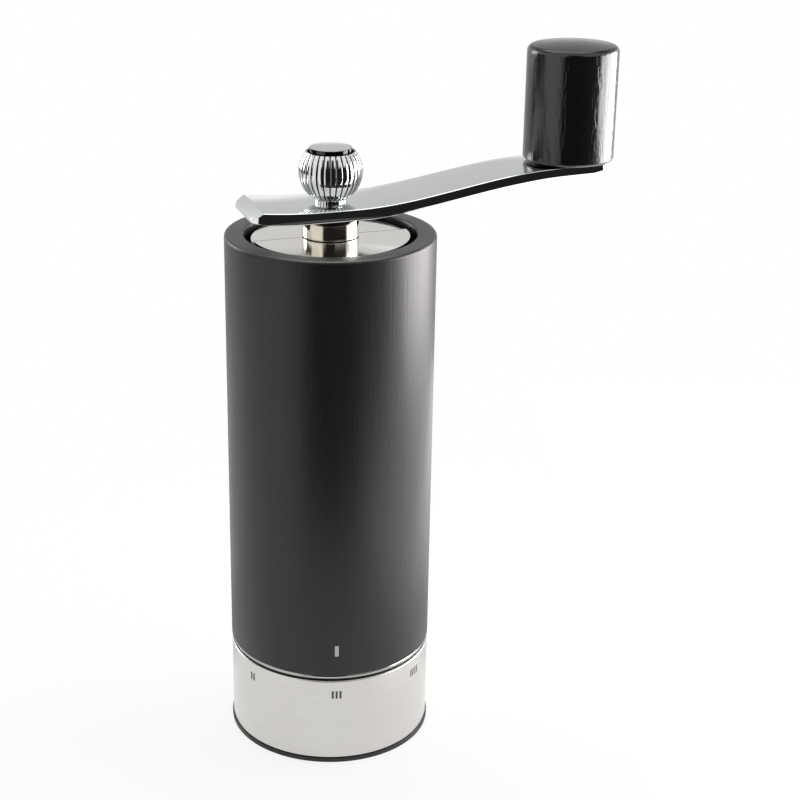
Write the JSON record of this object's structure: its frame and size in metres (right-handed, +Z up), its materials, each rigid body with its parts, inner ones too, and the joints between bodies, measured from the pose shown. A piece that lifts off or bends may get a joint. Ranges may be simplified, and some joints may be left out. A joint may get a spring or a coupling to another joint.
{
  "type": "hand crank coffee grinder",
  "caption": "Slim wooden crank mill with a fluted ball nut, turning wooden knob, swinging lid half and steel grind setting ring at the base.",
  "frame": {"origin": "on the mill's axis, in the plane of the foot pad's underside", "axes": "+Z up along the crank shaft, +X along the crank arm towards the knob at rest"},
  "size_m": [0.1015, 0.0534, 0.1809],
  "materials": {
    "body_wood": "dark graphite satin lacquer over turned beech",
    "index_inlay": "light grey inlay",
    "polished_trim": "polished collar",
    "black_plastic": "fine matte moulding",
    "grey_plastic": "glass filled moulding",
    "screw_steel": "zinc plated",
    "foot_rubber": "soft black pad",
    "bush_plastic": "natural acetal",
    "spring_steel": "hardened strip",
    "washer_brass": "turned",
    "mirror_nickel": "warm mirror nickel plate",
    "satin_steel": "turned satin, circumferential grain",
    "etched_mark": "dark etched bars",
    "carrier_alloy": "die cast",
    "burr_steel": "case hardened",
    "shaft_steel": "drawn bar",
    "polished_steel": "polished flat bar",
    "knob_wood": "open pore black gloss lacquer",
    "chrome": "bright chrome plate"
  },
  "bodies": {
    "mill_body": {"wood_body": "body_wood", "index_mark": "index_inlay", "trim_collar": "polished_trim", "housing": "black_plastic", "housing_screws": "screw_steel", "base_plate": "black_plastic", "base_screws": "screw_steel", "foot_pad": "foot_rubber", "lower_bush": "bush_plastic", "detent_spring": "spring_steel", "top_bridge": "black_plastic", "bridge_screws": "screw_steel", "upper_bush": "bush_plastic", "thrust_washer": "washer_brass", "lid_fixed": "mirror_nickel", "lid_clip": "spring_steel"},
    "shutter": {"lid_shutter": "mirror_nickel"},
    "setting_ring": {"ring_shell": "satin_steel", "ring_nut": "grey_plastic", "setting_marks": "etched_mark"},
    "stator_unit": {"stator_carrier": "carrier_alloy", "stator_burr": "burr_steel", "stator_retainer": "screw_steel"},
    "crank": {"shaft": "shaft_steel", "rotor_burr": "burr_steel", "rotor_clip": "spring_steel", "shaft_clip": "spring_steel", "neck_collar": "mirror_nickel", "crank_arm": "polished_steel", "knob_pin": "polished_steel"},
    "knob": {"knob_wood": "knob_wood", "knob_bush": "bush_plastic"},
    "nut_core": {"nut_insert": "washer_brass"},
    "ball_nut": {"nut_shell": "chrome", "nut_cap": "chrome"}
  },
  "joints": [
    {"name": "shutter_turn", "type": "hinge", "parent": "mill_body", "child": "shutter", "pos_m": [0, 0, 0.1352], "axis": [0, 0, 1], "range_deg": [0, 175]},
    {"name": "setting_turn", "type": "hinge", "parent": "mill_body", "child": "setting_ring", "pos_m": [0, 0, 0.013], "axis": [0, 0, 1], "range_deg": [-162, 108]},
    {"name": "stator_travel", "type": "slide", "parent": "mill_body", "child": "stator_unit", "axis": [0, 0, 1], "range_m": [-0.0006, 0.0009]},
    {"name": "crank_turn", "type": "hinge", "parent": "mill_body", "child": "crank", "pos_m": [0, 0, 0.138], "axis": [0, 0, 1], "continuous": true},
    {"name": "knob_spin", "type": "hinge", "parent": "crank", "child": "knob", "pos_m": [0.0633, 0, 0.165], "axis": [0, 0, 1], "continuous": true},
    {"name": "nut_lift", "type": "slide", "parent": "crank", "child": "nut_core", "axis": [0, 0, 1], "range_m": [0, 0.00945]},
    {"name": "nut_turn", "type": "hinge", "parent": "nut_core", "child": "ball_nut", "pos_m": [0, 0, 0.151], "axis": [0, 0, 1], "range_deg": [0, 4860]}
  ],
  "couplings": [
    {"joint": "setting_turn", "follows": "stator_travel", "rad_per_m": -3141.6},
    {"joint": "nut_turn", "follows": "nut_lift", "rad_per_m": 8976}
  ]
}
